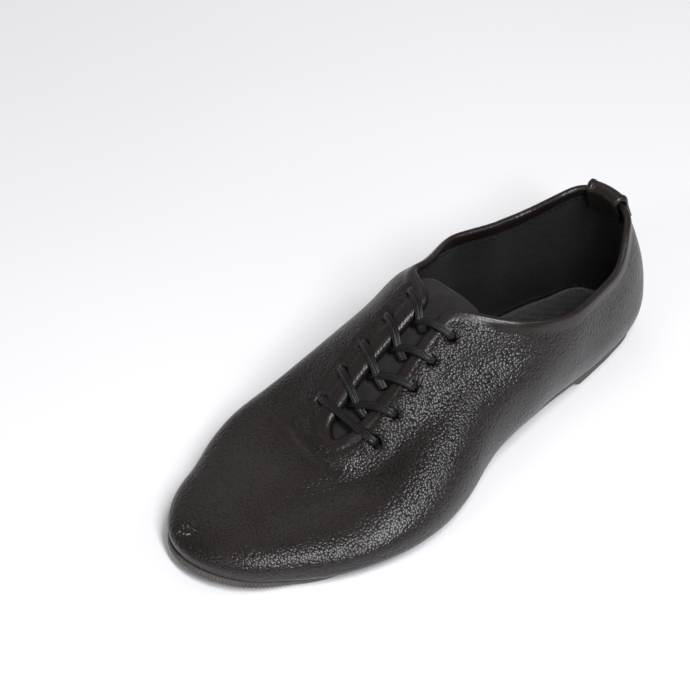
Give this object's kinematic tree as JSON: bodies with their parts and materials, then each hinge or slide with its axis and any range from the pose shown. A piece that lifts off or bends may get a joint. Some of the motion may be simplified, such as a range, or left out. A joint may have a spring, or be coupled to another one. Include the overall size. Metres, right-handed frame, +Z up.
{
  "type": "jazz shoe",
  "caption": "Low black leather jazz shoe for the left foot: soft one-piece upper with a laced throat, open collar and a thin moulded rubber sole.",
  "frame": {"origin": "on the floor under the heel seat, in the middle of the heel's flat rest face", "axes": "-Y toward the toe, +X toward the lateral (little toe) side, +Z up"},
  "size_m": [0.1061, 0.2523, 0.0696],
  "materials": {
    "black_leather": "soft grained leather with a low sheen",
    "black_suede": "matt suede",
    "black_rubber": "matt rubber",
    "black_insole_cloth": "matt cloth",
    "black_cord": "ribbed cord"
  },
  "bodies": {
    "root": {"upper": "black_leather", "outsole": "black_rubber", "insole": "black_insole_cloth", "tongue": "black_suede", "heel_tab": "black_leather", "lace_bar": "black_cord", "lace_crossing_1": "black_cord", "lace_crossing_2": "black_cord", "lace_crossing_3": "black_cord", "lace_crossing_4": "black_cord"}
  },
  "joints": []
}
